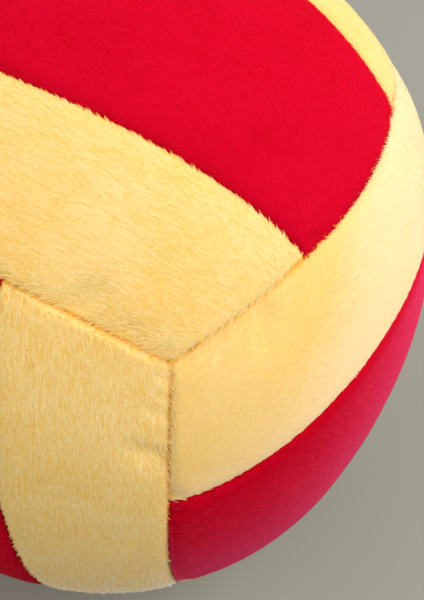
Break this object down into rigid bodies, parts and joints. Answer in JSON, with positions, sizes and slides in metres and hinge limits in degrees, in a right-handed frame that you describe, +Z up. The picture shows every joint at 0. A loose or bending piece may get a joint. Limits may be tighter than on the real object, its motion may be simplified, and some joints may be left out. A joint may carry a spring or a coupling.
{
  "type": "plush juggling ball",
  "caption": "Soft round plush ball sewn from strips in yellow and red like a volleyball, stuffed with fibre, for tossing, catching and juggling.",
  "frame": {"origin": "centre of the ball", "axes": "+Z up through the centre of the top face, whose strips run along X; the right face looks along +X with strips along Y, and the back face along +Y with strips along Z"},
  "size_m": [0.182, 0.182, 0.182],
  "materials": {
    "yellow_plush": "short-pile plush, soft nap",
    "red_plush": "short-pile plush, soft nap",
    "sewing_thread": "matt spun polyester",
    "fibre_filling": "loose polyester fibre"
  },
  "bodies": {
    "root": {"top_front_panel": "yellow_plush", "top_middle_panel": "red_plush", "top_back_panel": "yellow_plush", "bottom_back_panel": "yellow_plush", "bottom_middle_panel": "red_plush", "bottom_front_panel": "yellow_plush", "right_lower_panel": "yellow_plush", "right_middle_panel": "red_plush", "right_upper_panel": "yellow_plush", "left_upper_panel": "yellow_plush", "left_middle_panel": "red_plush", "left_lower_panel": "yellow_plush", "back_left_panel": "yellow_plush", "back_middle_panel": "red_plush", "back_right_panel": "yellow_plush", "front_right_panel": "yellow_plush", "front_middle_panel": "red_plush", "front_left_panel": "yellow_plush", "top_front_strip_thread": "sewing_thread", "top_back_strip_thread": "sewing_thread", "bottom_back_strip_thread": "sewing_thread", "bottom_front_strip_thread": "sewing_thread", "right_lower_strip_thread": "sewing_thread", "right_upper_strip_thread": "sewing_thread", "left_upper_strip_thread": "sewing_thread", "left_lower_strip_thread": "sewing_thread", "back_left_strip_thread": "sewing_thread", "back_right_strip_thread": "sewing_thread", "front_right_strip_thread": "sewing_thread", "front_left_strip_thread": "sewing_thread", "top_right_seam_thread": "sewing_thread", "top_left_seam_thread": "sewing_thread", "bottom_right_seam_thread": "sewing_thread", "bottom_left_seam_thread": "sewing_thread", "right_back_seam_thread": "sewing_thread", "right_front_seam_thread": "sewing_thread", "left_back_seam_thread": "sewing_thread", "left_front_seam_thread": "sewing_thread", "back_top_seam_thread": "sewing_thread", "back_bottom_seam_thread": "sewing_thread", "front_top_seam_thread": "sewing_thread", "front_bottom_seam_thread": "sewing_thread", "closing_thread": "sewing_thread", "stuffing": "fibre_filling"}
  },
  "joints": []
}
